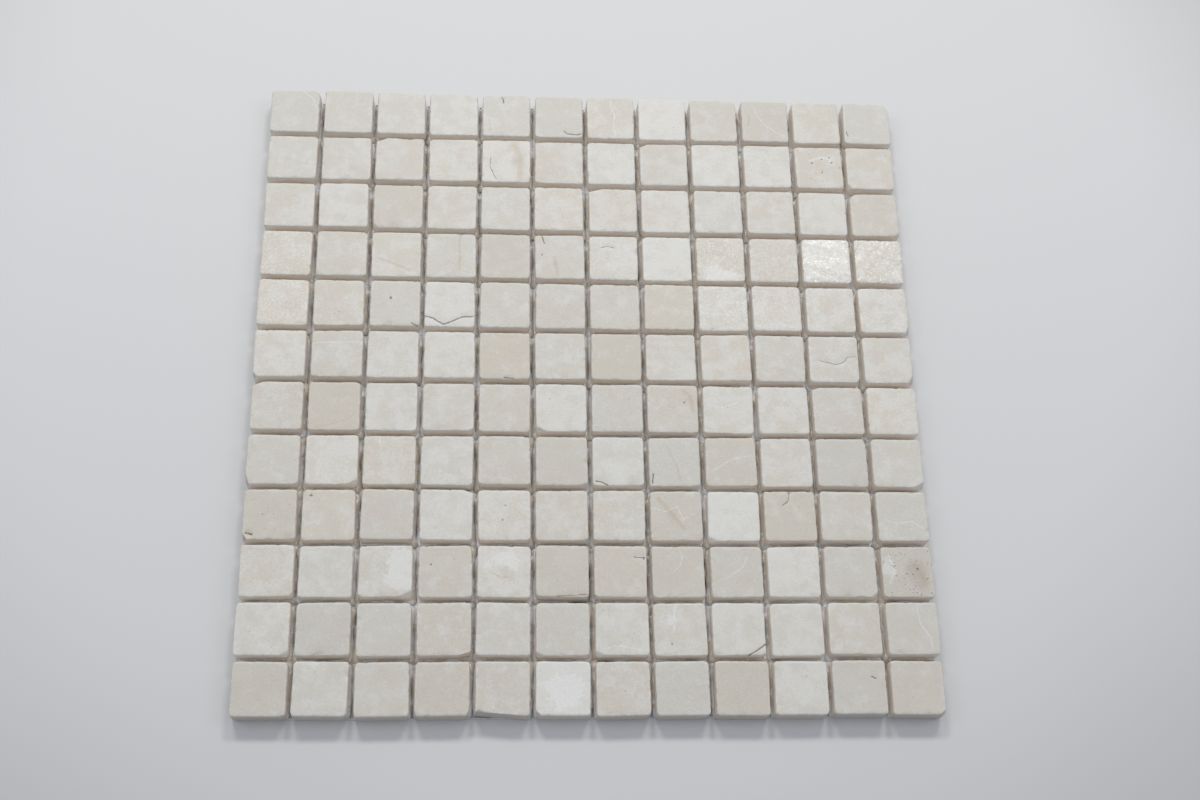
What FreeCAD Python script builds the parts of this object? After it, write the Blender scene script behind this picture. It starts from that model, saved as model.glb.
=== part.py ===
import FreeCAD, Part
import math
import os
import random

# Mosaic tile sheet: small square tiles of tumbled cream stone, set in a square grid and
# held by their backs on an open mesh of glass yarn, ready to be bedded and grouted as one.
#
# All sizes are in millimetres. The origin is at the middle of the sheet, on the plane that
# the mesh rests on. +X runs along a row of tiles, +Y runs from the first row to the last,
# and +Z points up, out of the stone faces.

# The grid
rows = 12
columns = 12
tile_side = 23.2
joint_width = 2.2
tile_thickness = 10.0

# What tumbling wears away: upright corners and the face's arris, rounded by short flats
corner_radius = 1.5
arris_radius = 0.6
corner_flats = 2
arris_flats = 2

# How far one tile may depart from the nominal one
side_spread = 0.15
thickness_spread = 0.2
corner_spread = 0.25  # as a share of the radius
place_spread = 0.2
turn_spread = 0.6  # degrees

# The mesh: flat yarns in two layers, the upper ones lying across the lower ones
mesh_cell = 5.0
yarn_width = 1.0
yarn_thickness = 0.25
mesh_setback = 0.6  # from the nominal edge of the outer tiles

# Corners that are knocked off: the tile's row and column, which corner of it (1 or -1 along
# X and Y, then 1 at the face and -1 at the back), and how far the break runs along X, Y, Z
broken_corners = [
    (1, 4, 1, -1, 1, 2.0, 3.4, 4.0),
    (1, 5, -1, -1, 1, 23.0, 1.9, 200.0),
    (1, 6, -1, -1, 1, 2.8, 2.6, 4.0),
    (1, 12, 1, -1, 1, 2.6, 2.6, 5.0),
    (2, 1, 1, -1, 1, 4.6, 2.6, 2.2),
    (2, 4, 1, -1, 1, 6.0, 1.6, 40.0),
    (2, 6, -1, -1, 1, 3.6, 2.0, 2.4),
    (2, 7, -1, -1, 1, 5.0, 2.4, 2.4),
    (2, 7, -1, -1, -1, 11.0, 2.5, 2.0),
    (3, 1, 1, -1, 1, 2.6, 2.6, 2.0),
    (3, 3, 1, -1, 1, 7.0, 3.2, 3.6),
    (3, 6, 1, -1, -1, 14.0, 3.0, 2.6),
    (3, 11, 1, -1, 1, 3.0, 2.8, 3.2),
    (4, 1, -1, -1, 1, 2.6, 3.6, 5.5),
    (4, 4, 1, 1, 1, 5.0, 1.8, 5.0),
    (4, 9, -1, -1, 1, 4.6, 2.4, 2.4),
    (5, 1, -1, -1, 1, 1.8, 6.0, 5.0),
    (5, 2, 1, -1, 1, 5.4, 2.8, 3.2),
    (5, 6, 1, -1, 1, 5.6, 1.6, 1.6),
    (5, 11, 1, 1, 1, 2.0, 4.0, 3.0),
    (5, 12, 1, -1, 1, 5.2, 2.8, 4.0),
    (6, 1, -1, 1, 1, 5.4, 2.6, 5.0),
    (6, 4, 1, -1, 1, 3.0, 2.0, 3.0),
    (6, 6, -1, -1, 1, 5.8, 2.6, 3.0),
    (6, 10, -1, -1, -1, 15.0, 2.4, 1.6),
    (6, 11, -1, 1, 1, 5.0, 1.6, 6.0),
    (7, 1, -1, -1, 1, 2.2, 3.0, 5.0),
    (7, 3, 1, -1, -1, 9.0, 2.4, 2.2),
    (7, 12, 1, -1, 1, 3.4, 5.0, 3.2),
    (8, 3, 1, -1, 1, 3.6, 2.6, 1.2),
    (8, 12, 1, -1, 1, 2.2, 4.6, 3.0),
    (10, 3, -1, -1, 1, 3.0, 2.8, 2.6),
    (10, 7, -1, 1, 1, 7.0, 2.0, 30.0),
    (10, 8, 1, 1, 1, 2.6, 1.6, 2.0),
    (10, 12, -1, 1, 1, 3.4, 2.6, 8.0),
    (10, 12, 1, -1, 1, 4.0, 2.6, 2.0),
    (11, 3, -1, 1, 1, 6.5, 2.8, 6.0),
    (11, 6, -1, -1, 1, 2.8, 1.8, 2.0),
    (11, 7, 1, -1, 1, 3.2, 1.8, 1.6),
    (11, 8, -1, 1, 1, 4.6, 2.2, 5.0),
    (11, 12, -1, -1, 1, 2.6, 3.2, 3.0),
    (12, 1, 1, 1, 1, 2.5, 4.0, 3.0),
    (12, 6, 1, -1, 1, 5.0, 1.8, 1.0),
    (12, 12, 1, 1, 1, 3.0, 4.5, 4.0),
]

pitch = tile_side + joint_width
sheet_width = columns * pitch - joint_width
sheet_depth = rows * pitch - joint_width
mesh_thickness = 2 * yarn_thickness
right_angle = math.pi / 2


def tile_corners(chance):
    # Centre and radius of the four upright corners, counterclockwise from the +X +Y one.
    corners = []
    for side_x, side_y in ((1, 1), (-1, 1), (-1, -1), (1, -1)):
        radius = corner_radius * (1 + chance.uniform(-corner_spread, corner_spread))
        half_x = tile_side / 2 + chance.uniform(-side_spread, side_spread)
        half_y = tile_side / 2 + chance.uniform(-side_spread, side_spread)
        corners.append((side_x * (half_x - radius), side_y * (half_y - radius), radius))
    return corners


def tile_outline(corners, inset, height):
    # Every corner turns about its own fixed centre, whatever the inset, so outlines at two
    # insets have parallel edges and the faces between them are flat.
    points = []
    for quarter, (centre_x, centre_y, radius) in enumerate(corners):
        reach = radius - inset
        for step in range(corner_flats + 1):
            turn = right_angle * (quarter + step / corner_flats)
            points.append(
                FreeCAD.Vector(
                    centre_x + reach * math.cos(turn),
                    centre_y + reach * math.sin(turn),
                    height,
                )
            )
    return points


def flat_face(points):
    return Part.Face(Part.makePolygon(points + points[:1]))


def tumbled_tile(chance):
    # One tile, its back on the plane Z = 0 and its middle on the Z axis: straight sides up
    # to the arris, which leans in to the face along a quarter circle of flats.
    corners = tile_corners(chance)
    thickness = tile_thickness + chance.uniform(-thickness_spread, thickness_spread)
    outlines = [tile_outline(corners, 0, 0)]
    for step in range(arris_flats + 1):
        turn = right_angle * step / arris_flats
        inset = arris_radius * (1 - math.cos(turn))
        height = thickness - arris_radius * (1 - math.sin(turn))
        outlines.append(tile_outline(corners, inset, height))
    faces = [flat_face(outlines[0]), flat_face(outlines[-1])]
    for lower, upper in zip(outlines, outlines[1:]):
        for start in range(len(lower)):
            end = (start + 1) % len(lower)
            faces.append(flat_face([lower[start], lower[end], upper[end], upper[start]]))
    return Part.Solid(Part.Shell(faces))


def break_corner(tile, side_x, side_y, side_z, along_x, along_y, along_z):
    # Takes a corner off by the plane through one point on each of its three edges. The
    # waste reaches past the whole tile, wherever on an edge the plane starts.
    bounds = tile.BoundBox
    corner = FreeCAD.Vector(
        side_x * tile_side / 2,
        side_y * tile_side / 2,
        bounds.ZMax if side_z > 0 else bounds.ZMin,
    )
    on_edge = corner - FreeCAD.Vector(side_x * along_x, 0, 0)
    normal = FreeCAD.Vector(side_x / along_x, side_y / along_y, side_z / along_z)
    reach = 4 * tile_side
    waste = Part.makeBox(reach, reach, reach, FreeCAD.Vector(-reach / 2, -reach / 2, 0))
    waste.Placement = FreeCAD.Placement(
        on_edge, FreeCAD.Rotation(FreeCAD.Vector(0, 0, 1), normal)
    )
    return tile.cut(waste).Solids[0]


def placed_tile(row, column):
    # A tile with its own wear, set down on the mesh a little off its place in the grid.
    chance = random.Random(f"row {row}, column {column}")
    tile = tumbled_tile(chance)
    for broken_row, broken_column, *corner in broken_corners:
        if (row, column) == (broken_row, broken_column):
            tile = break_corner(tile, *corner)
    middle = FreeCAD.Vector(
        (column - (columns + 1) / 2) * pitch + chance.uniform(-place_spread, place_spread),
        (row - (rows + 1) / 2) * pitch + chance.uniform(-place_spread, place_spread),
        mesh_thickness,
    )
    turn = FreeCAD.Rotation(
        FreeCAD.Vector(0, 0, 1), chance.uniform(-turn_spread, turn_spread)
    )
    tile.Placement = FreeCAD.Placement(middle, turn).multiply(tile.Placement)
    return tile


def yarn_places(across):
    # Middles of the yarns laid side by side: the outer two sit at the setback, and the rest
    # share the room between them in gaps as near to the mesh cell as will go in evenly.
    room = across - 2 * mesh_setback - yarn_width
    gaps = round(room / mesh_cell)
    return [room * (place / gaps - 1 / 2) for place in range(gaps + 1)]


def lengthwise_yarns():
    # The lower layer, which runs along Y.
    length = sheet_depth - 2 * mesh_setback
    return [
        Part.makeBox(
            yarn_width,
            length,
            yarn_thickness,
            FreeCAD.Vector(place - yarn_width / 2, -length / 2, 0),
        )
        for place in yarn_places(sheet_width)
    ]


def crosswise_yarns():
    # The upper layer, which runs along X and carries the backs of the tiles.
    length = sheet_width - 2 * mesh_setback
    return [
        Part.makeBox(
            length,
            yarn_width,
            yarn_thickness,
            FreeCAD.Vector(-length / 2, place - yarn_width / 2, yarn_thickness),
        )
        for place in yarn_places(sheet_depth)
    ]


def export(name, solids):
    Part.makeCompound(solids).exportStep(os.path.join("parts", name + ".step"))
    print(name, len(solids), "solids", round(sum(s.Volume for s in solids)), "mm3")


os.makedirs("parts", exist_ok=True)
export("mesh_lengthwise_yarns", lengthwise_yarns())
export("mesh_crosswise_yarns", crosswise_yarns())
for row in range(1, rows + 1):
    export(
        f"tile_row_{row:02d}",
        [placed_tile(row, column) for column in range(1, columns + 1)],
    )
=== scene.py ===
import math

import bpy
import numpy as np
from mathutils import Euler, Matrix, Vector


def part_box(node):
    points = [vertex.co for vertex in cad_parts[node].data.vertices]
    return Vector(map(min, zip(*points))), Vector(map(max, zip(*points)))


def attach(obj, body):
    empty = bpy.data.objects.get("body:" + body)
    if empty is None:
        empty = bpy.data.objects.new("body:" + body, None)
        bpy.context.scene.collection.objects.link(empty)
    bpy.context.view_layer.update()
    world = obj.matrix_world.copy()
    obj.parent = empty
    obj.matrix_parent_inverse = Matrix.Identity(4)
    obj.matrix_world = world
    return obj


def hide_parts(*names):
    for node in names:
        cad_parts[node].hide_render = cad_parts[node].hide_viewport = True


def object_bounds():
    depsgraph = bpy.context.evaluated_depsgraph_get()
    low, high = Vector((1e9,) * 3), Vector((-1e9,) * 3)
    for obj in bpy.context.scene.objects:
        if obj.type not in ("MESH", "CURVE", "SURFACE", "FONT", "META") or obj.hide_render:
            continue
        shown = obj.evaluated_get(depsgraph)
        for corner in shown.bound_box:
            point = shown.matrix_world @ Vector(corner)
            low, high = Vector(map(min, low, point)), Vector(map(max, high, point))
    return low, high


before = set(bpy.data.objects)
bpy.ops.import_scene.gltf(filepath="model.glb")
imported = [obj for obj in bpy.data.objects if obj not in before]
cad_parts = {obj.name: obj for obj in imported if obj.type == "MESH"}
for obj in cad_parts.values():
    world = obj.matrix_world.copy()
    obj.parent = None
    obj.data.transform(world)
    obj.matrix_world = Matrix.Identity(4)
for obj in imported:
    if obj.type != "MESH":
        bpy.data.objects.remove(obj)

# A mosaic sheet: twelve rows of twelve tumbled stone tiles on a glass yarn mesh.
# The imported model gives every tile's flats; this file wears them down and finishes them.

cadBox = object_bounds()
tileRows = sorted(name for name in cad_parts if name.startswith("tile_row_"))
sheetHalf = np.array(cadBox[1][:2]) * 1000  # mm, from the middle to the outline
print("frame loaded:", len(tileRows), "rows of tiles")


# Camera: the photo's own view, found by fitting the grid of tiles
cameraView = {
    "lens": 46.56,
    "sensor": 36.0,
    "place": (-0.04552, -0.2679, 0.66313),
    "turn": (21.671, -4.038, -0.988),  # degrees, XYZ
}


def placeCamera():
    lens = bpy.data.cameras.new("photoLens")
    lens.lens = cameraView["lens"]
    lens.sensor_width = cameraView["sensor"]
    camera = bpy.data.objects.new("photoCamera", lens)
    camera.location = cameraView["place"]
    camera.rotation_euler = Euler([math.radians(a) for a in cameraView["turn"]])
    bpy.context.collection.objects.link(camera)
    bpy.context.scene.camera = camera


# Shader maths: a Wire is one output socket, and arithmetic on it adds Math nodes
class Wire:
    def __init__(self, net, socket):
        self.net = net
        self.socket = socket

    def maths(self, operation, first, second=None):
        ends = {0: first} if second is None else {0: first, 1: second}
        return self.net.node("ShaderNodeMath", {"operation": operation}, ends)

    def __add__(self, other):
        return self.maths("ADD", self, other)

    def __radd__(self, other):
        return self.maths("ADD", other, self)

    def __sub__(self, other):
        return self.maths("SUBTRACT", self, other)

    def __rsub__(self, other):
        return self.maths("SUBTRACT", other, self)

    def __mul__(self, other):
        return self.maths("MULTIPLY", self, other)

    def __rmul__(self, other):
        return self.maths("MULTIPLY", other, self)

    def __truediv__(self, other):
        return self.maths("DIVIDE", self, other)

    def __rtruediv__(self, other):
        return self.maths("DIVIDE", other, self)

    def __pow__(self, other):
        return self.maths("POWER", self, other)

    def __abs__(self):
        return self.maths("ABSOLUTE", self)

    def top(self, other):
        return self.maths("MAXIMUM", self, other)


class Net:
    def __init__(self, tree):
        self.tree = tree
        tree.nodes.clear()

    # Any node: its type, its settings (set first), its sockets' values or links
    def node(self, kind, settings=None, sockets=None, out=0):
        made = self.tree.nodes.new(kind)
        for name, value in (settings or {}).items():
            setattr(made, name, value)
        for key, value in (sockets or {}).items():
            if isinstance(value, Wire):
                self.tree.links.new(value.socket, made.inputs[key])
            else:
                made.inputs[key].default_value = value
        return Wire(self, made.outputs[out]) if made.outputs else None

    def attribute(self, name, out="Vector"):
        return self.node("ShaderNodeAttribute", {"attribute_name": name}, out=out)

    def noise(self, place, scale, detail=2.0, roughness=0.5):
        ends = {"Vector": place, "Scale": scale, "Detail": detail, "Roughness": roughness}
        return self.node("ShaderNodeTexNoise", None, ends, out="Fac")

    def colours(self, share, first, second, mode="MIX"):
        settings = {"data_type": "RGBA", "blend_type": mode}
        return self.node("ShaderNodeMix", settings, {0: share, 6: first, 7: second}, out=2)

    # From nought at low to one at high; low may be the greater
    def ramp(self, value, low, high, soft=True):
        settings = {"interpolation_type": "SMOOTHSTEP" if soft else "LINEAR"}
        return self.node("ShaderNodeMapRange", settings, {0: value, 1: low, 2: high})

    def split(self, vector, out):
        return self.node("ShaderNodeSeparateXYZ", None, {0: vector}, out=out)

    def bump(self, height, strength, distance):
        ends = {"Strength": strength, "Distance": distance, "Height": height}
        return self.node("ShaderNodeBump", None, ends)

    def surface(self, ends):
        shader = self.node("ShaderNodeBsdfPrincipled", None, ends)
        self.node("ShaderNodeOutputMaterial", None, {"Surface": shader})


def newMaterial(name):
    material = bpy.data.materials.new(name)
    material.use_nodes = True
    return material, Net(material.node_tree)


def opaque(colour):
    return (*colour, 1.0)


# A piece: its points in metres, its faces, its values at each point, one material
def newPiece(name, points, faces, values, material):
    mesh = bpy.data.meshes.new(name)
    mesh.from_pydata(points.tolist(), [], faces)
    for key, array in values.items():
        if array.ndim == 1:
            layer = mesh.attributes.new(key, "FLOAT", "POINT")
            layer.data.foreach_set("value", array.astype(np.float32))
        else:
            layer = mesh.attributes.new(key, "FLOAT_VECTOR", "POINT")
            layer.data.foreach_set("vector", array.astype(np.float32).ravel())
    mesh.shade_smooth()
    mesh.materials.append(material)
    mesh.validate()
    piece = bpy.data.objects.new(name, mesh)
    bpy.context.collection.objects.link(piece)
    return piece


# Stone tiles
tileShape = {
    "middleCells": 26,  # across a face, between its worn edges
    "edgeCells": 5,  # in each worn edge
    "edgeBand": 0.13,  # share of the half side that the worn edge takes
    "wallHeights": (0.9, 0.78, 0.35, -0.6, -0.93, -1.0),  # shares of half the thickness
    "backRing": 0.9,  # share of the half side where the ring of the back lies
    "softness": 0.085,  # mm, how gently two flats run into each other
    "edgeFade": 1.1,  # mm, in which an edge's wear dies away
    "faceFade": 0.5,  # mm, in which the face's marks die away down the sides
    "rimFade": 0.5,  # mm2, in which the powder of the worn rim dies away
    "swell": 0.03,  # mm, long unevenness of a face
    "swellReach": 14,  # mm
    "waver": 0.04,  # mm, unevenness of an edge
    "waverReach": 4.5,
    "waverInside": 0.35,  # share of the waver that is left away from the edges
    "nibble": 0.42,  # mm, depth of the small losses along an edge
    "nibbleReach": 2.4,
    "nibbleLevel": 1.05,  # of the random field, above which there is a loss
    "crackDepth": 0.22,
    "crackHalf": 0.8,  # mm, half the width that a crack sinks
    "pitDepth": 0.25,  # share of the way into a pit
    "pitEdge": 0.2,  # mm, round a pit
    "standOut": 0.08,  # mm, of the sides in the joints, which makes up for the mean sink
}
# How far a tile that isn't listed below may differ in its looks
tileSpread = {
    "tone": 0.3,
    "toneLimit": 0.6,
    "warmth": 0.35,
    "shine": 0.12,
}

# Features seen on single tiles: row and column, then points in mm from the tile's middle
darkCracks = [
    (12, 5, [(-2.2, 10.8), (-1.5, 8.6), (-1.4, 7.0)], 0.5),
    (12, 6, [(2.1, -7.7), (4.1, -9.2), (8.3, -9.8), (11.2, -9.2)], 0.45),
    (12, 12, [(-10.6, -4.6), (-9.6, -7.4)], 0.35),
    (11, 5, [(-7.4, 2.0), (-7.9, -3.0), (-4.6, -10.4)], 0.25),
    (9, 6, [(-8.5, 11.2), (-7.2, 7.3)], 0.45),
    (9, 7, [(-6.0, 5.3), (-2.8, 6.3), (0.6, 5.2)], 0.28),
    (8, 3, [(7.4, -9.6), (11.2, -11.6)], 0.45),
    (8, 4, [(-12, -5.8), (-7.5, -7.2), (-3.1, -10.2), (0.9, -8.7), (5.5, -6.4), (12, -6)], 0.5),
    (7, 5, [(-0.6, -10.6), (4.4, -11.2)], 0.4),
    (7, 11, [(-7.4, -0.7), (-3, -1.5), (1, -2.7), (5, -1.2), (6.2, 1.2), (11, 1.5)], 0.24),
    (5, 7, [(-10.6, -9.2), (-7.8, -9.8), (-4.6, -11.4)], 0.45),
    (5, 8, [(-9.6, -5.4), (-10.2, -10.8)], 0.42),
    (4, 1, [(-10.2, -8.2), (-6.6, -9.2)], 0.6),
    (4, 10, [(0.3, 12.0), (-0.8, 7.0), (-3.6, 4.6)], 0.3),
    (3, 6, [(-3, -11.2), (4, -10.7), (11, -10.4)], 0.3),
    (3, 7, [(5.6, 6.8), (7.6, 6.3), (11, 6.2)], 0.35),
    (2, 9, [(3.3, -11.6), (6.6, -9.9), (12, -6.2)], 0.5),
    (1, 11, [(5.2, 4.6), (7.4, 3.4)], 0.45),
]
paleVeins = [
    (12, 1, [(3.6, 11), (8.6, 7.0), (10.4, 1.4)], 0.35),
    (12, 7, [(0, 11), (0.4, 5.5), (2.2, 1.6), (1.4, -3.8), (2.4, -10)], 0.4),
    (12, 10, [(-5.2, 7.6), (-3.4, 2.4), (0, -2.2), (5.5, -6.7), (11, -8.2)], 0.35),
    (11, 11, [(-5.0, 3.4), (1.2, 5.6), (5.8, 5.0), (6.8, 1.4)], 0.9),
    (10, 9, [(8.6, 10.4), (7.8, 4.0), (9.4, -2.6)], 0.3),
    (7, 2, [(-11.6, 4.8), (-4, 5.4), (11.8, 5.9)], 0.3),
    (6, 9, [(-9.8, 2.4), (-2.0, 1.0), (6.4, 4.6)], 0.3),
    (5, 3, [(-4.8, 11.6), (-4.3, 7.4), (-3.6, 4.8)], 0.45),
    (5, 9, [(-8.4, -4.2), (0.6, 1.2), (8.8, 3.0)], 0.3),
    (4, 8, [(-11, 4), (-5, 1.8), (0.5, 4.4), (3, -1.6), (9, 1.5)], 0.4),
    (4, 12, [(-9, -1.2), (-3, -3.4), (4.0, -2.2), (10, -6.4)], 0.3),
    (3, 5, [(-9.2, 1.2), (-5.5, 5.6), (-1.4, 5.0), (3.6, 6.8), (8.6, 3.4)], 0.45),
    (3, 8, [(0.3, 10.4), (2.2, 6.8), (0.9, 2.9), (-2.4, -0.4)], 0.3),
    (3, 9, [(5.1, 7.0), (3, 2.8), (0.6, 0.6), (-5.6, -3.3)], 0.3),
    (3, 12, [(-8, 9), (-7.4, 4), (-5.4, 0.6), (-8.6, -6)], 0.45),
    (2, 7, [(-8.4, -8.6), (-1.0, -7.2), (8.8, -9.4)], 0.4),
    (2, 12, [(2.2, 10.2), (3.4, 2), (7.2, -3.8), (7.8, -10)], 0.35),
    (2, 8, [(-1.8, 11.6), (-2.6, 6), (-2.2, 2.4), (-3.6, -2)], 0.55),
]
rustVeins = [
    (12, 5, [(-8.3, -1.6), (-7.8, -8.2), (-6.2, -11)], 0.4),
    (12, 10, [(-7.4, 4.6), (-8.6, -3.4)], 0.5),
    (11, 5, [(3, 11), (6.8, 2.4), (6.4, -11)], 2.2),
    (9, 3, [(-9.6, -1.6), (-2, -4.4), (7.6, -8.6)], 1.1),
    (9, 4, [(4.4, 12.4), (3.7, 6.2), (4.1, -1), (3.7, -8.2)], 0.8),
    (9, 6, [(-2.6, 0.4), (-1.8, -5), (-0.8, -10.4)], 1.1),
    (6, 2, [(-6.6, -9.9), (0.3, -8.4), (7, -5.8), (10.6, -2)], 0.35),
    (6, 8, [(4.2, 9.6), (8.2, 6), (9.6, -2)], 1.4),
    (6, 9, [(-11.2, -8.3), (-7.2, -9.8)], 0.5),
    (5, 8, [(-3.6, 8.4), (1.2, -2.6), (2.6, -10)], 0.5),
    (4, 12, [(-2.4, -4.8), (3.5, -5.1)], 0.35),
    (4, 8, [(-9, 9), (-2, 1), (4, -7)], 1.6),
    (3, 5, [(-6.4, 0.2), (-0.8, -2.8), (3.6, -2.1)], 0.6),
    (3, 12, [(2, 4), (5, 0), (9, -6)], 1.6),
]
# Pits and specks: row, column, then x, y and radius of each, in mm
pits = [
    (11, 11, [(-3.4, 2.4, 0.6), (1.7, 4.5, 0.5), (5.5, 5.7, 0.6), (6.5, 2.8, 0.6), (4.6, 3.6, 0.4),
              (1.4, -2.8, 0.6), (1.7, -7.3, 0.4), (10.4, 0.2, 0.5), (2.9, 1.2, 0.35)]),
    (9, 6, [(-7.2, 7.2, 0.55), (-8.4, 1.0, 0.7)]),
    (8, 3, [(-2.1, 2.8, 0.75), (-1.4, 0.6, 0.4)]),
    (8, 2, [(0.2, -4.6, 0.45), (-1.8, -5.6, 0.4)]),
    (6, 8, [(5.5, 3.0, 0.65)]),
    (4, 2, [(-8.0, 8.9, 0.7), (-6.9, 8.4, 0.4)]),
    (4, 5, [(0.5, 4.6, 0.5), (-0.5, -2.0, 0.55), (0.5, -3.4, 0.35), (1.2, -10.6, 0.45)]),
    (3, 4, [(-6.2, 3.1, 0.5), (3.7, 5.2, 0.4)]),
    (3, 7, [(10.2, 6.0, 0.6)]),
    (3, 12, [(-7.6, 7.4, 0.4), (-6.2, 2.2, 0.45), (-7.2, -2.4, 0.4), (4.6, 1.4, 0.6), (9.2, 3.4, 0.4)]),
    (2, 8, [(-3.7, -6.4, 0.6)]),
    (1, 7, [(0.8, -1.0, 0.4), (2.8, -0.9, 0.35)]),
    (1, 10, [(2.4, 4.8, 0.4)]),
]
# Small losses in an edge: row, column, x, y, radius, depth, in mm
notches = [
    (11, 2, 0.6, -11.4, 1.6, 0.7),
    (11, 3, 4.6, 11.4, 1.4, 0.5),
    (10, 3, -2.0, -11.4, 2.2, 0.5),
    (9, 4, 4.3, 11.5, 0.8, 1.0),
    (9, 7, 11.4, 3.4, 1.2, 0.5),
    (8, 3, -2.4, -11.3, 1.6, 0.6),
    (7, 2, 2.6, -11.3, 1.8, 0.7),
    (6, 1, 11.3, 6.6, 1.4, 0.6),
    (6, 4, -3.6, -11.3, 1.8, 0.5),
    (5, 6, 11.2, -0.4, 1.2, 0.7),
    (5, 7, 6.4, -11.2, 2.2, 0.7),
    (5, 11, 5.2, -11.3, 1.2, 0.6),
    (4, 1, 8.4, -11.2, 1.8, 0.7),
    (4, 1, -8.4, -9.0, 1.5, 0.6),
    (4, 10, 0.3, 11.3, 0.8, 1.2),
    (4, 12, 5.0, 11.4, 0.9, 0.8),
    (4, 12, 10.9, -7.0, 1.0, 0.6),
    (3, 10, 8.0, -11.2, 1.4, 0.6),
    (3, 11, -1.8, -11.2, 1.2, 0.7),
    (2, 2, -1.2, -11.2, 1.8, 0.8),
    (2, 3, -11.0, 4.2, 1.4, 0.6),
    (2, 12, -6.2, -11.2, 1.4, 0.6),
    (1, 2, 10.9, 5.2, 1.6, 0.5),
]
# Whiter patches, or browner ones below nought: row, column, x, y, radius in mm, amount
patches = [
    (11, 5, 4.5, 0.0, 3.0, -0.5),
    (9, 4, 4.0, -2.0, 2.5, -0.4),
    (9, 9, -3.0, -8.5, 4.5, 1.2),
    (9, 9, 5.0, -9.0, 4.0, 1.0),
    (9, 6, -1.5, -4.0, 3.0, -0.4),
    (6, 8, 8.0, 5.0, 4.0, -0.4),
    (4, 8, -2.0, 0.0, 4.0, -0.4),
    (3, 3, 7.0, 5.5, 5.5, 1.0),
    (3, 3, 4.5, -2.5, 5.0, 0.8),
    (3, 3, 8.5, -3.5, 4.5, 0.8),
    (3, 5, -2.5, 5.5, 3.0, 0.8),
    (3, 5, 2.0, 6.5, 3.0, 0.9),
    (3, 5, 4.5, 2.0, 2.5, 0.6),
    (3, 5, -7.0, 3.0, 2.0, 0.6),
    (3, 12, -8.0, 2.0, 3.5, 1.0),
    (3, 12, 4.0, 1.0, 5.5, -0.9),
    (3, 12, 6.0, -6.0, 4.0, -0.6),
    (2, 8, -4.0, 4.0, 3.0, 0.6),
    (1, 6, 1.0, -1.5, 9.0, 0.9),
]
# How light, warm, shiny or pitted a tile is, where it stands out: row, column, the four
tileCharacter = [
    (12, 8, 0.95, -0.6, 0.0, 0.0),
    (11, 9, 0.6, -0.6, 0.1, 0.0),
    (10, 2, 0.5, -0.2, 0.0, 0.0),
    (10, 8, 0.45, 0.0, 0.1, 0.0),
    (10, 11, 0.5, -0.2, 0.0, 0.0),
    (9, 8, 0.9, -0.7, 0.1, 0.0),
    (9, 7, 0.3, -0.2, 0.25, 0.0),
    (9, 11, 0.45, -0.2, 1.0, 0.0),
    (9, 12, -0.1, 0.3, 0.85, 0.0),
    (9, 9, 0.0, 0.7, 0.4, 0.0),
    (9, 10, 0.0, 0.2, 0.3, 0.0),
    (9, 1, 0.1, 0.6, 0.3, 0.0),
    (8, 1, 0.2, 0.7, 0.35, 0.0),
    (8, 9, 0.4, -0.1, 0.4, 0.0),
    (8, 10, 0.3, 0.1, 0.4, 0.0),
    (8, 11, 0.3, 0.1, 0.3, 0.0),
    (8, 12, 0.4, 0.1, 0.3, 0.0),
    (8, 4, 0.6, -0.6, 0.0, 0.0),
    (7, 5, -0.3, 0.9, 0.0, 0.0),
    (7, 7, -0.35, 0.8, 0.0, 0.1),
    (6, 2, -0.5, 0.8, 0.0, 0.0),
    (6, 3, 0.4, -0.4, 0.0, 0.0),
    (6, 6, 0.6, -0.2, 0.0, 0.0),
    (5, 7, 0.45, -0.7, 0.0, 0.0),
    (5, 9, -0.3, 0.3, 0.0, 0.0),
    (4, 1, -0.4, 0.4, 0.0, 0.2),
    (4, 4, 0.5, -0.6, 0.0, 0.0),
    (4, 9, 0.9, -0.9, 0.0, 0.0),
    (4, 10, -0.3, 0.8, 0.0, 0.1),
    (3, 5, 0.4, 0.1, 0.1, 0.0),
    (3, 8, -0.3, 0.2, 0.0, 0.0),
    (3, 12, -0.8, 0.3, 0.1, 0.38),
    (2, 1, 0.4, -0.4, 0.0, 0.0),
    (2, 7, 0.4, -0.3, 0.0, 0.0),
    (2, 9, 0.45, -0.4, 0.0, 0.0),
    (2, 10, 0.4, -0.4, 0.0, 0.0),
    (1, 6, 0.85, -0.8, 0.0, 0.0),
    (1, 1, -0.6, 0.2, 0.0, 0.0),
    (1, 11, -0.4, 0.0, 0.0, 0.0),
    (1, 12, -0.3, 0.3, 0.0, 0.0),
    (11, 11, 0.0, 0.2, 0.1, 0.15),
]


farAway = 9.0  # mm, from a listed line or pit, on a tile that has none


# A smooth random field: the mean of plane waves, each about reach long, in random
# directions and phases, scaled so that it spreads about one either way
def ripples(points, reach, chance, waves=20):
    ways = chance.normal(size=(waves, 3))
    lengths = reach * chance.uniform(0.7, 1.5, size=waves)
    ways *= (2 * math.pi / lengths / np.linalg.norm(ways, axis=1))[:, None]
    phases = chance.uniform(0, 2 * math.pi, size=waves)
    return np.sin(points @ ways.T + phases).sum(1) * math.sqrt(2 / waves)


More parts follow.
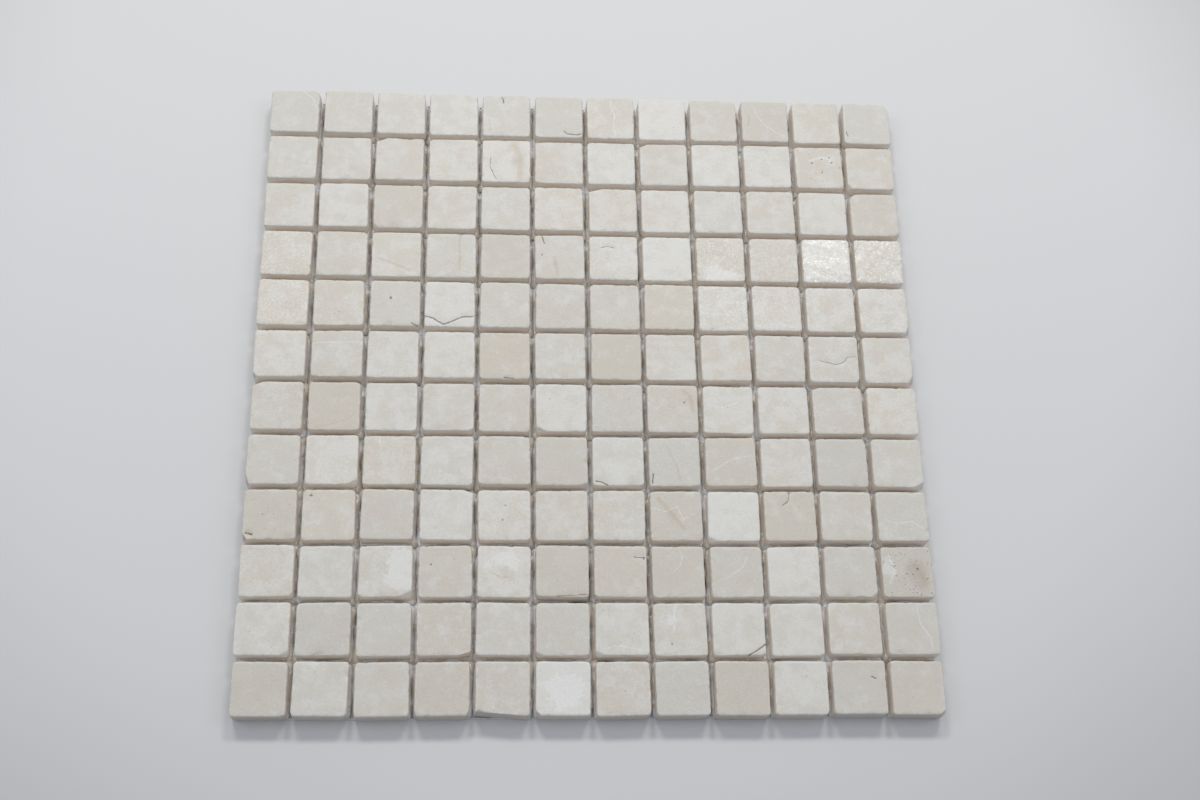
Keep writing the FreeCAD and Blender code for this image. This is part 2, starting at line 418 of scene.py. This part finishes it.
# The grid of one tile, on the cube from -1 to 1: a face of cells that are finer in the worn
# edges, rings of wall under its rim, and a back closed by one ring and a middle point
def tileGrid():
    edge = np.linspace(1, 1 - tileShape["edgeBand"], tileShape["edgeCells"] + 1)
    middle = np.linspace(-1, 1, tileShape["middleCells"] + 1)[1:-1] * (1 - tileShape["edgeBand"])
    steps = np.concatenate([-edge, middle, edge[::-1]])
    cells = len(steps) - 1
    across, along = np.meshgrid(steps, steps)
    face = np.stack([across, along, np.ones_like(across)], -1).reshape(-1, 3)
    number = np.arange(len(face)).reshape(cells + 1, cells + 1)
    rim = np.concatenate(
        [number[0, :-1], number[:-1, -1], number[-1, :0:-1], number[:0:-1, 0]]
    )
    points = [face]
    rings = [rim]
    total = len(face)
    for height in tileShape["wallHeights"]:
        ring = face[rim].copy()
        ring[:, 2] = height
        points.append(ring)
        rings.append(total + np.arange(len(rim)))
        total += len(rim)
    inner = points[-1] * (tileShape["backRing"], tileShape["backRing"], 1)
    points += [inner, np.array([[0.0, 0.0, -1.0]])]
    innerRing = total + np.arange(len(rim))
    centre = total + len(rim)
    quads = [
        np.stack(
            [number[:-1, :-1], number[:-1, 1:], number[1:, 1:], number[1:, :-1]], -1
        ).reshape(-1, 4)
    ]
    for upper, lower in zip(rings, rings[1:]):
        ends = [lower, np.roll(lower, -1), np.roll(upper, -1), upper]
        quads.append(np.stack(ends, -1))
    last = rings[-1]
    ends = [last, innerRing, np.roll(innerRing, -1), np.roll(last, -1)]
    quads.append(np.stack(ends, -1))
    fan = np.stack([innerRing, np.full(len(rim), centre), np.roll(innerRing, -1)], -1)
    return np.concatenate(points), np.concatenate(quads), fan, last


# The flats of each tile in a packed row: its middle and half size in mm, and every flat's
# outward direction and distance from that middle
def readTiles(nodeName, pitch):
    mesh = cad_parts[nodeName].data
    points = np.zeros(len(mesh.vertices) * 3, np.float32)
    mesh.vertices.foreach_get("co", points)
    points = points.reshape(-1, 3).astype(float) * 1000
    corners = np.zeros(len(mesh.loops), np.int32)
    mesh.loops.foreach_get("vertex_index", corners)
    triangles = points[corners].reshape(-1, 3, 3)
    columns = np.rint(triangles[:, :, 0].mean(1) / pitch - 0.5).astype(int)
    tiles = []
    for column in np.unique(columns):
        own = triangles[columns == column]
        low = own.reshape(-1, 3).min(0)
        high = own.reshape(-1, 3).max(0)
        middle = (low + high) / 2
        normals = np.cross(own[:, 1] - own[:, 0], own[:, 2] - own[:, 0])
        areas = np.linalg.norm(normals, axis=1)
        normals /= np.maximum(areas, 1e-6)[:, None]
        reaches = ((own[:, 0] - middle) * normals).sum(1)
        overhang = ((own.reshape(-1, 3) - middle) @ normals.T - reaches).max(0)
        keep = (areas > 0.01) & (overhang < 0.01)  # slivers lean, and then cut the tile
        flats = np.column_stack([normals, reaches])[keep]
        rounded = np.rint(flats * (50, 50, 50, 10))  # to 1/50 of a direction, 0.1 mm
        same = np.unique(rounded, axis=0, return_index=True)[1]  # each flat once
        tiles.append((middle, (high - low) / 2, flats[same]))
    return tiles


# Distance of each point across a bent line, and how far along it, from 0 to 1 between its
# ends; the end runs are carried on past them, so the sign changes only on the line itself
def nearLine(points, line):
    line = np.array(line, float)
    runs = line[1:] - line[:-1]
    lengths = np.linalg.norm(runs, axis=1)
    starts = np.concatenate([[0], np.cumsum(lengths)])
    across = np.full(len(points), 1e6)
    along = np.zeros(len(points))
    for number, (start, run, length) in enumerate(zip(line, runs, lengths)):
        way = run / length
        offset = points - start
        share = offset @ way
        low = -1e6 if number == 0 else 0.0
        high = 1e6 if number == len(runs) - 1 else length
        held = np.clip(share, low, high)
        gap = np.linalg.norm(offset - held[:, None] * way, axis=1)
        side = np.sign(way[0] * offset[:, 1] - way[1] * offset[:, 0])
        nearer = gap < np.abs(across)
        across = np.where(nearer, np.where(side == 0, 1, side) * gap, across)
        along = np.where(nearer, (starts[number] + held) / starts[-1], along)
    return across, along


# The entries of a list that belong to one tile, without their row and column
def listed(entries, row, column):
    return [rest for entryRow, entryColumn, *rest in entries if (entryRow, entryColumn) == (row, column)]


# One tile: each direction of the grid from the tile's middle is followed until the flats'
# soft maximum, s * log(sum(exp(height over flat / s))), is nought. Then the point sinks a
# little along the surface's own direction: swell everywhere, waver and nibbles at the
# edges, notches, cracks and pits where they are listed. Last, the sides that stand in a
# joint move out level. The outline is -1, 0 or 1 along X and Y: where the sheet ends
def wearTile(grid, tile, row, column, outline, chance):
    middle, half, flats = tile
    soft = tileShape["softness"]
    ways = grid * half
    ways /= np.linalg.norm(ways, axis=1)[:, None]
    facing = ways @ flats[:, :3].T
    reach = 1 / (facing / flats[:, 3]).max(1)
    for turn in range(4):
        over = (facing * reach[:, None] - flats[:, 3]) / soft
        peak = over.max(1)
        weights = np.exp(over - peak[:, None])
        level = soft * (peak + np.log(weights.sum(1)))
        weights /= weights.sum(1)[:, None]
        reach -= level / (weights * facing).sum(1)
    points = ways * reach[:, None]
    outward = weights @ flats[:, :3]
    outward /= np.linalg.norm(outward, axis=1)[:, None]

    over = points @ flats[:, :3].T - flats[:, 3]
    faceLike = flats[:, 2] > 0.9
    wallLike = np.abs(flats[:, 2]) < 0.2
    underFace = -over[:, faceLike].max(1)
    insideWall = -over[:, wallLike].max(1)
    edge = np.exp(-(underFace + insideWall) / tileShape["edgeFade"])
    onFace = np.exp(-underFace / tileShape["faceFade"])
    block = points + chance.uniform(-400, 400, size=3)  # mm, stone of its own
    sink = tileShape["swell"] * (1 + ripples(block, tileShape["swellReach"], chance))
    waver = 1 + ripples(block, tileShape["waverReach"], chance)
    sink += tileShape["waver"] * waver * (tileShape["waverInside"] + edge)
    losses = ripples(block, tileShape["nibbleReach"], chance, 30) - tileShape["nibbleLevel"]
    sink += tileShape["nibble"] * np.clip(losses, 0, 1) * edge
    for x, y, radius, depth in listed(notches, row, column):
        gap = np.linalg.norm(points - (x, y, half[2]), axis=1) / radius
        sink += depth * np.exp(-gap * gap)

    values = {"stonePlace": block}
    flat = points[:, :2]
    for key, lines in (("darkCrack", darkCracks), ("paleVein", paleVeins), ("rustVein", rustVeins)):
        found = np.tile((farAway, 0.5, 0.0), (len(points), 1))
        for line, width in listed(lines, row, column):
            across, along = nearLine(flat, line)
            found = np.stack([across, along, np.full(len(points), width)], -1)
        values[key] = found
    across, along, width = values["darkCrack"].T
    within = np.clip(np.minimum(along, 1 - along) * 6 + 0.4, 0, 1)  # shallower at its ends
    groove = np.exp(-((across / tileShape["crackHalf"]) ** 2))
    sink += tileShape["crackDepth"] * groove * within * onFace

    pitGap = np.full(len(points), farAway)
    for (spots,) in listed(pits, row, column):
        for x, y, radius in spots:
            pitGap = np.minimum(pitGap, np.linalg.norm(flat - (x, y), axis=1) - radius)
    sink += tileShape["pitDepth"] * np.clip(tileShape["pitEdge"] - pitGap, 0, 1) * onFace
    values["pitGap"] = np.where(onFace > 0.3, pitGap, farAway)

    tone = chance.normal(0, tileSpread["tone"])
    tone = min(max(tone, -tileSpread["toneLimit"]), tileSpread["toneLimit"])
    look = [tone, chance.normal(0, tileSpread["warmth"]), tileSpread["shine"] * chance.random(), 0.0]
    for character in listed(tileCharacter, row, column):
        look = character
    for key, value in zip(("tone", "warmth", "shine", "pitting"), look):
        values[key] = np.full(len(points), value)
    stain = np.zeros(len(points))
    for x, y, radius, amount in listed(patches, row, column):
        gap = np.linalg.norm(flat - (x, y), axis=1) / radius
        stain += amount * np.exp(-gap * gap)
    values["stain"] = stain
    values["onBack"] = np.where(weights @ flats[:, 2] < -0.7, 1.0, 0.0)  # faces down
    outside = (outward[:, :2] * outline).max(1)  # near one on the sheet's own outer sides
    values["inJoint"] = 1 - np.clip(outside * 2 - 0.4, 0, 1)
    values["onFace"] = onFace
    values["rim"] = np.exp(-((underFace + insideWall) ** 2) / tileShape["rimFade"])
    points = points - outward * np.maximum(sink, 0)[:, None]
    standOut = tileShape["standOut"] * values["inJoint"] * (1 - onFace)
    points[:, :2] += outward[:, :2] * standOut[:, None]
    return (points + middle) / 1000, values


def tileRow(row, nodeName, pitch, grid, quads, fan, foot, material):
    tiles = readTiles(nodeName, pitch)
    parts = []
    beads = []
    valueLists = {}
    faces = []
    total = 0
    for column, tile in enumerate(tiles, start=1):
        chance = np.random.default_rng(1000 * row + column)
        outline = (
            (column == len(tiles)) - (column == 1),
            (row == len(tileRows)) - (row == 1),
        )
        points, values = wearTile(grid, tile, row, column, outline, chance)
        parts.append(points)
        beads.append(footBead(points[foot], tile, values["inJoint"][foot], chance))
        for key, array in values.items():
            valueLists.setdefault(key, []).append(array)
        faces += (quads + total).tolist() + (fan + total).tolist()
        total += len(points)
    values = {key: np.concatenate(arrays) for key, arrays in valueLists.items()}
    piece = newPiece(f"tileRow{row:02d}", np.concatenate(parts), faces, values, material)
    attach(piece, "root")
    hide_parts(nodeName)
    return beads


# Adhesive squeezed up round each tile's foot
beadShape = {
    "step": 2,  # one section at every second point of the foot
    "height": 3.7,  # mm, how far the film climbs the side of a tile
    "heightSpread": 0.15,  # share by which that varies
    "lump": 0.7,  # mm, how much higher the lumps are
    "lumpLevel": 0.25,  # of the random field, above which a lump starts
    "reach": 1.35,  # mm, out into the joint
    "reachSpread": 0.06,
    "depth": 0.08,  # mm, below the backs of the tiles
    "patch": 7.0,  # mm, length of a lump and the clear film beside it
    "fade": 6.0,  # mm, in which it thins out towards the sheet's outline
    # The section's corners: a share of the reach, mm past it, and a share of the height
    "section": ((0, -0.4, 0), (0, -0.15, 1), (0.4, -0.1, 0.8), (1, -0.05, 0.7)),
}


# A bead round one foot. Its section has four corners: under the stone, up its side, on the
# slope and at the toe. The height follows a smooth random field of the place, and so do the
# lumps, where that field is high; both are nought on the outside of the sheet and thin out
# towards it. A bead points out of its tile's side, and farther at the tile's corners
def footBead(foot, tile, inJoint, chance):
    middle, half = tile[:2]
    back = middle[2] - half[2]
    line = foot[:: beadShape["step"]] * 1000
    offset = line[:, :2] - middle[:2]
    offset = np.sign(offset) * (np.abs(offset) / np.abs(offset).max(0)) ** 8
    out = offset / np.linalg.norm(offset, axis=1)[:, None]
    field = ripples(line, beadShape["patch"], chance)
    margin = (sheetHalf - np.abs(line[:, :2])).min(1)
    inside = np.clip(inJoint[:: beadShape["step"]] * 2 - 1, 0, 1)
    inside *= np.clip(margin / beadShape["fade"], 0, 1)
    lump = np.clip((field - beadShape["lumpLevel"]) * 2.5, 0, 1) * inside
    height = beadShape["height"] * (1 + beadShape["heightSpread"] * field)
    height = (height + beadShape["lump"] * lump) * inside
    corner = 2 * np.abs(out[:, 0] * out[:, 1])
    reach = beadShape["reach"] * (1 + beadShape["reachSpread"] * field + corner) * inside
    corners = []
    for outShare, past, upShare in beadShape["section"]:
        across = outShare * reach + past
        level = back + upShare * height
        corners.append(np.column_stack([line[:, :2] + out * across[:, None], level]))
    corners[0][:, 2] -= beadShape["depth"]
    return np.stack(corners, 1) / 1000, np.repeat(lump, len(corners))


def beadPiece(beads, material):
    made = np.stack([bead for bead, lump in beads])
    lumps = np.concatenate([lump for bead, lump in beads])
    feet, stations, sides = made.shape[:3]
    number = np.arange(feet * stations * sides).reshape(feet, stations, sides)
    following = np.roll(number, -1, 1)
    ends = [number, np.roll(number, -1, 2), np.roll(following, -1, 2), following]
    faces = np.stack(ends, -1).reshape(-1, 4).tolist()
    points = made.reshape(-1, 3)
    piece = newPiece("adhesiveBeads", points, faces, {"lump": lumps}, material)
    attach(piece, "root")


# The adhesive: a pale film, with brownish and glossy lumps
beadLooks = {
    "film": (0.84, 0.855, 0.885),
    "lump": (0.66, 0.62, 0.56),
    "filmRoughness": 0.45,
    "lumpRoughness": 0.14,
    "patchScale": 500.0,  # per metre, as the other scales on Object coordinates
    "bumpStrength": 0.7,
    "bumpDistance": 0.0004,
}


def beadMaterial():
    material, net = newMaterial("driedAdhesive")
    place = net.node("ShaderNodeTexCoord", out="Object")
    patchy = net.noise(place, beadLooks["patchScale"], 3.0, 0.6)
    share = net.ramp(net.attribute("lump", "Fac") + 1.6 * (patchy - 0.5), 0.2, 0.7)
    base = net.colours(share, opaque(beadLooks["film"]), opaque(beadLooks["lump"]))
    rough = beadLooks["filmRoughness"] * (1 - share) + beadLooks["lumpRoughness"] * share
    bump = net.bump(patchy, beadLooks["bumpStrength"], beadLooks["bumpDistance"])
    net.surface({"Base Color": base, "Roughness": rough, "Normal": bump, "IOR": 1.48})
    return material


# The stone: cream, clouded and faintly veined, matt with a little sheen
stoneLooks = {
    "cream": (0.653, 0.622, 0.562),
    "beige": (0.636, 0.582, 0.52),
    "honey": (0.657, 0.612, 0.53),
    "white": (0.723, 0.708, 0.674),
    "vein": (0.793, 0.788, 0.765),
    # painted light on the sides in the joints
    "side": (0.86, 0.775, 0.69),
    # painted shade on the sheet's outer sides
    "outerSidePaintedShade": (0.47, 0.43, 0.38),
    "rust": (0.50, 0.365, 0.235),
    "stain": (0.42, 0.36, 0.32),
    "crack": (0.11, 0.085, 0.065),
    "pit": (0.18, 0.14, 0.105),
    "film": (0.60, 0.59, 0.56),
    # painted highlight of the glints
    "paintedGlint": (0.96, 0.95, 0.93),
    "cloudScale": 0.09,  # per mm, as the stone's other scales
    "driftScale": 0.14,
    "veinScale": 0.15,
    "mottleScale": 0.62,
    "speckScale": 1.05,
    "grainScale": 2.3,
    "lightness": 1.015,
    "toneDepth": 0.075,  # how much a tile's own tone changes its lightness
    "grainDepth": 0.17,
    "speckDepth": 0.13,
    "mottleDepth": 0.04,
    "warmGreen": 0.012,  # how much green and blue a warm tile loses
    "warmBlue": 0.03,
    "roughness": 0.52,
    "roughSpread": 0.25,
    "shineGloss": 0.22,  # how much shine and a worn rim take off the roughness
    "rimGloss": 0.22,
    "bumpStrength": 0.3,
    "bumpDistance": 0.0002,
}
# Clouds in the stone, laid over each other in this order: the levels of its noise where a
# cloud starts and is full, and how much it covers there
stoneClouds = {
    "beige": (0.36, 0.70, 0.80),
    "honey": (0.40, 0.62, 0.50),
    "white": (0.44, 0.70, 0.65),
    "vein": (0.30, 0.55, 0.55),
    "stain": (0.10, 0.90, 0.50),
}
# How much each mark covers the stone under it
markCover = {
    "fineVein": 0.40,
    "powder": 0.50,
    "paleVein": 0.75,
    "rustVein": 0.36,
    "darkCrack": 0.85,
    "pit": 0.85,
    # side: how much the painted light and shade of the sides cover
    "side": 0.85,
    "film": 0.70,
    # glint: how much the painted highlight of the glints covers
    "paintedGlint": 0.80,
}


def colour(name):
    return opaque(stoneLooks[name])


# Share of a listed line at a point: one on the line, falling to nought at its width, broken
# up and fading at its ends
def lineShare(net, name, wobble, breaks):
    line = net.attribute(name)
    across = net.split(line, "X") + wobble
    along = net.split(line, "Y")
    width = net.split(line, "Z")
    near = net.ramp(abs(across) / (width + 0.001), 1.0, 0.25)
    ends = net.ramp(abs(along - 0.5), 0.52, 0.42)
    return near * ends * breaks


def stoneMaterial():
    material, net = newMaterial("tumbledStone")
    place = net.attribute("stonePlace")
    names = ("tone", "warmth", "shine", "pitting", "stain", "rim", "onFace", "onBack", "pitGap")
    tone, warmth, shine, pitting, stain, rim, onFace, onBack, pitGap = (
        net.attribute(name, "Fac") for name in names
    )
    clouds = net.noise(place, stoneLooks["cloudScale"], 3.0, 0.55)
    drift = net.noise(place, stoneLooks["driftScale"], 3.0, 0.6)
    mottle = net.noise(place, stoneLooks["mottleScale"], 4.0, 0.64)
    speck = net.noise(place, stoneLooks["speckScale"], 2.0)
    grain = net.noise(place, stoneLooks["grainScale"], 1.0)

    # Cream, with beige and honey clouds, whiter drifts, pale patches and a few brown stains
    patchy = mottle - 0.5
    levels = {
        "beige": clouds + 0.22 * warmth + 0.28 * patchy,
        "honey": 0.9 - drift + 0.2 * warmth + 0.24 * patchy,
        "white": drift + 0.4 * patchy + 0.2 * tone + 0.3 * stain,
        "vein": stain + 1.2 * patchy + 0.8 * (drift - 0.5),
        "stain": 0.6 * patchy - stain,
    }
    stone = colour("cream")
    for name, (start, full, cover) in stoneClouds.items():
        stone = net.colours(net.ramp(levels[name], start, full) * cover, stone, colour(name))

    # Fine veins where a slow noise crosses its middle value, and powder on the worn edges
    ridge = abs(net.noise(place, stoneLooks["veinScale"], 4.0, 0.6) - 0.52)
    veins = net.ramp(ridge, 0.011, 0.0) * net.ramp(speck, 0.42, 0.62)
    powder = rim * net.ramp(mottle, 0.36, 0.58)
    share = (veins * markCover["fineVein"]).top(powder * markCover["powder"])
    stone = net.colours(share, stone, colour("vein"))

    wobble = patchy * 1.5
    breaks = net.ramp(speck, 0.30, 0.44)
    pale = lineShare(net, "paleVein", wobble, breaks)
    rust = lineShare(net, "rustVein", wobble, breaks * 0.6 + 0.3)
    dark = lineShare(net, "darkCrack", wobble * 0.7, breaks * 0.4 + 0.6)
    stone = net.colours(pale * markCover["paleVein"], stone, colour("vein"))
    stone = net.colours(rust * markCover["rustVein"], stone, colour("rust"))
    stone = net.colours(dark * markCover["darkCrack"], stone, colour("crack"))

    scattered = net.ramp(speck + 0.2 * pitting, 0.735, 0.77) * onFace
    inPit = net.ramp(pitGap + 1.1 * patchy, 0.12, -0.2)
    stone = net.colours(inPit.top(scattered) * markCover["pit"], stone, colour("pit"))

    # Painted light and shade on the sides: those in the joints are painted warm and light, for light
    # that the stone lets through and that bounces between tiles, and the outer ones are painted darker;
    # a film of adhesive lies on the back
    side = net.colours(net.attribute("inJoint", "Fac"), colour("outerSidePaintedShade"), colour("side"))
    stone = net.colours(net.ramp(onFace, 0.4, 0.05) * markCover["side"], stone, side)
    stone = net.colours(onBack * markCover["film"], stone, colour("film"))

    # The tile's own lightness, and the speckle of the grain
    fine = stoneLooks["grainDepth"] * (grain - 0.5) + stoneLooks["speckDepth"] * (speck - 0.5)
    fine = fine + stoneLooks["mottleDepth"] * patchy
    light = stoneLooks["lightness"] + stoneLooks["toneDepth"] * tone + fine
    green = light - stoneLooks["warmGreen"] * warmth
    blue = light - stoneLooks["warmBlue"] * warmth
    tint = net.node("ShaderNodeCombineColor", None, {0: light, 1: green, 2: blue})
    stone = net.colours(1.0, stone, tint, "MULTIPLY")

    # Painted highlights: crystal glints painted white into the colour of the shiny faces, which are
    # smoother too, as the worn rims are
    paintedGlints = net.ramp(grain + 0.8 * patchy + 0.3 * (speck - 0.5), 0.52, 0.66) * shine * onFace
    stone = net.colours(paintedGlints * markCover["paintedGlint"], stone, colour("paintedGlint"))
    rough = stoneLooks["roughness"] + stoneLooks["roughSpread"] * patchy
    rough = rough - stoneLooks["shineGloss"] * shine * (1 + paintedGlints) - stoneLooks["rimGloss"] * rim
    bump = net.bump(
        0.6 * grain + mottle, stoneLooks["bumpStrength"], stoneLooks["bumpDistance"]
    )
    net.surface({"Base Color": stone, "Roughness": rough, "Normal": bump, "IOR": 1.5})
    return material


# The mesh: glass yarns, coated, in two layers
yarnShape = {
    "sides": 6,
    "pointsPerCell": 2,
    "fullness": 0.92,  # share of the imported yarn's width and height
    "widening": 0.04,  # share by which a yarn is wider at every second station
    "swing": 2e-5,  # metres, how far a yarn may stray from one station to the next
    "swingLimit": 1.5e-4,
    "seed": 7,
}


# Yarns side by side: each is an oval section carried along a nearly straight run, which
# strays a little sideways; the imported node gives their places, width and height
def yarnLayer(nodeName, name, axis, material):
    low, high = (np.array(corner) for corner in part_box(nodeName))
    other = 1 - axis
    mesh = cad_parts[nodeName].data
    points = np.array([v.co for v in mesh.vertices])
    sidesFound = np.unique(np.rint(points[:, other] * 1e5)) / 1e5
    places = (sidesFound[0::2] + sidesFound[1::2]) / 2
    width = (sidesFound[1] - sidesFound[0]) * yarnShape["fullness"]
    height = (high[2] - low[2]) * yarnShape["fullness"]
    cells = len(places) - 1
    stations = cells * yarnShape["pointsPerCell"] + 1
    sides = yarnShape["sides"]
    along = np.linspace(low[axis], high[axis], stations)
    angle = np.arange(sides) * 2 * math.pi / sides
    chance = np.random.default_rng(yarnShape["seed"] + axis)
    centre = (low[2] + high[2]) / 2
    parts = []
    faces = []
    ring = np.arange(stations * sides).reshape(stations, sides)
    quads = np.stack(
        [ring[:-1], np.roll(ring[:-1], -1, 1), np.roll(ring[1:], -1, 1), ring[1:]], -1
    ).reshape(-1, 4)
    if axis == 1:  # so that the faces point outwards along Y too
        quads = quads[:, ::-1]
    for number, place in enumerate(places):
        swing = np.cumsum(chance.normal(0, 1, stations))
        swing = (swing - np.linspace(swing[0], swing[-1], stations)) * yarnShape["swing"]
        swing = np.clip(swing, -yarnShape["swingLimit"], yarnShape["swingLimit"])
        wide = width / 2 * (1 + yarnShape["widening"] * np.cos(np.arange(stations) * math.pi))
        made = np.zeros((stations, sides, 3))
        made[:, :, axis] = along[:, None]
        made[:, :, other] = place + swing[:, None] + wide[:, None] * np.cos(angle)
        made[:, :, 2] = centre + height / 2 * np.sin(angle)
        parts.append(made.reshape(-1, 3))
        start = number * stations * sides
        faces += (quads + start).tolist()
        lastRing = start + (stations - 1) * sides
        first = list(range(start, start + sides))
        last = list(range(lastRing, lastRing + sides))
        faces += [first, last[::-1]] if axis == 1 else [first[::-1], last]
    piece = newPiece(name, np.concatenate(parts), faces, {}, material)
    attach(piece, "root")
    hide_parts(nodeName)


yarnLooks = {
    "coated": (0.74, 0.745, 0.74),
    "bare": (0.55, 0.56, 0.56),
    "roughness": 0.38,
    "clumpScale": 220.0,
    "strandScale": 2600.0,
    "bumpStrength": 0.5,
    "bumpDistance": 0.0001,
}


def yarnMaterial():
    material, net = newMaterial("coatedGlassYarn")
    place = net.node("ShaderNodeTexCoord", out="Object")
    clumps = net.noise(place, yarnLooks["clumpScale"], 3.0, 0.6)
    strands = net.noise(place, yarnLooks["strandScale"], 2.0, 0.6)
    share = net.ramp(clumps, 0.35, 0.65)
    base = net.colours(share, opaque(yarnLooks["bare"]), opaque(yarnLooks["coated"]))
    rough = yarnLooks["roughness"] + 0.3 * (clumps - 0.5)
    bump = net.bump(strands, yarnLooks["bumpStrength"], yarnLooks["bumpDistance"])
    net.surface({"Base Color": base, "Roughness": rough, "Normal": bump, "IOR": 1.5})
    return material


# Floor, lamps and surroundings
studio = {
    "floorSize": 6.0,
    # The floor is painted darker to the front, lighter to the back and darker away from the sheet:
    # painted light falloff round a pool of light
    "floorNear": (0.69, 0.69, 0.698),
    "floorFar": (0.74, 0.74, 0.749),
    "paintedFalloffTurn": (-0.22, 0.12),  # along Y, where near turns into far
    "floorPaintedDimming": (0.75, 0.75, 0.75),  # painted shade: multiplies both, away from the sheet
    "paintedPoolMiddle": 0.1,  # along Y, the middle of the painted pool of light
    "paintedPoolReach": (0.26, 0.44),  # from that middle, where the painted dimming starts and is full
    "cloudScale": 3.0,
    "floorRoughness": 0.6,
    "lamps": [  # name, place, width and height, watts, colour
        ("backLeft", (-0.375, 1.03, 1.384), (0.4, 0.24), 6.75, (1.0, 0.976, 0.916)),
        ("backRight", (0.375, 1.03, 1.384), (0.4, 0.24), 6.75, (1.0, 0.976, 0.916)),
        ("left", (-0.80, 0.12, 1.05), (0.4, 0.4), 1.15, (0.93, 0.96, 1.0)),
        ("right", (0.80, 0.12, 1.05), (0.4, 0.4), 1.15, (0.93, 0.96, 1.0)),
    ],
    "skyStrength": 0.44,
    "skyColour": (0.88, 0.925, 1.0),
    "backdrop": (0.80, 0.81, 0.83),
}


def floorMaterial():
    material, net = newMaterial("paleFloor")
    place = net.node("ShaderNodeTexCoord", out="Object")
    cloud = net.noise(place, studio["cloudScale"], 3.0, 0.5) - 0.5
    near, far, paintedDimming = (opaque(studio[key]) for key in ("floorNear", "floorFar", "floorPaintedDimming"))
    across = net.split(place, "X")
    along = net.split(place, "Y")
    # Painted light and shade: darker to the front, lighter to the back, dimmed away from the sheet
    share = net.ramp(along + 0.12 * cloud, *studio["paintedFalloffTurn"], soft=False)
    base = net.colours(share, near, far)
    away = (across**2 + (along - studio["paintedPoolMiddle"]) ** 2) ** 0.5
    share = net.ramp(away + 0.08 * cloud, *studio["paintedPoolReach"])
    base = net.colours(share, base, net.colours(1.0, base, paintedDimming, "MULTIPLY"))
    net.surface({"Base Color": base, "Roughness": studio["floorRoughness"]})
    return material


def makeStudio():
    bpy.context.scene.view_settings.view_transform = "Standard"
    half = studio["floorSize"] / 2
    corners = [(-half, -half, 0), (half, -half, 0), (half, half, 0), (-half, half, 0)]
    floor = newPiece("floor", np.array(corners, float), [(0, 1, 2, 3)], {}, floorMaterial())
    for name, place, size, power, tint in studio["lamps"]:
        lamp = bpy.data.lights.new(name, "AREA")
        lamp.shape = "RECTANGLE"
        lamp.size, lamp.size_y = size
        lamp.energy = power
        lamp.color = tint
        window = bpy.data.objects.new(name, lamp)
        window.location = place
        window.rotation_euler = (-Vector(place)).to_track_quat("-Z", "Y").to_euler()
        bpy.context.collection.objects.link(window)

    world = bpy.data.worlds.new("studioSky")
    bpy.context.scene.world = world
    world.use_nodes = True
    net = Net(world.node_tree)
    camera, glossy, through = (
        net.node("ShaderNodeLightPath", out=f"Is {name} Ray")
        for name in ("Camera", "Glossy", "Transmission")
    )
    seen = camera.top(glossy).top(through)
    sky = {"Color": opaque(studio["skyColour"]), "Strength": studio["skyStrength"]}
    back = {"Color": opaque(studio["backdrop"]), "Strength": 1.0}
    lighting = net.node("ShaderNodeBackground", None, sky)
    shown = net.node("ShaderNodeBackground", None, back)
    mixed = net.node("ShaderNodeMixShader", None, {0: seen, 1: lighting, 2: shown})
    net.node("ShaderNodeOutputWorld", None, {"Surface": mixed})


placeCamera()
makeStudio()
print("camera and studio placed")

firstLow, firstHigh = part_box(tileRows[0])
lastLow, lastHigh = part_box(tileRows[-1])
rowPitch = ((lastLow + lastHigh) / 2 - (firstLow + firstHigh) / 2).y / (len(tileRows) - 1)
stone = stoneMaterial()
grid, quads, fan, foot = tileGrid()
beads = []
for row, nodeName in enumerate(tileRows, start=1):
    beads += tileRow(row, nodeName, rowPitch * 1000, grid, quads, fan, foot, stone)
print("tiles worn and finished:", len(quads) * 2 + len(fan), "triangles each")
beadPiece(beads, beadMaterial())
print("adhesive laid round", len(beads), "feet")

yarn = yarnMaterial()
yarnLayer("mesh_lengthwise_yarns", "lengthwiseYarns", 1, yarn)
yarnLayer("mesh_crosswise_yarns", "crosswiseYarns", 0, yarn)
print("mesh yarns laid")
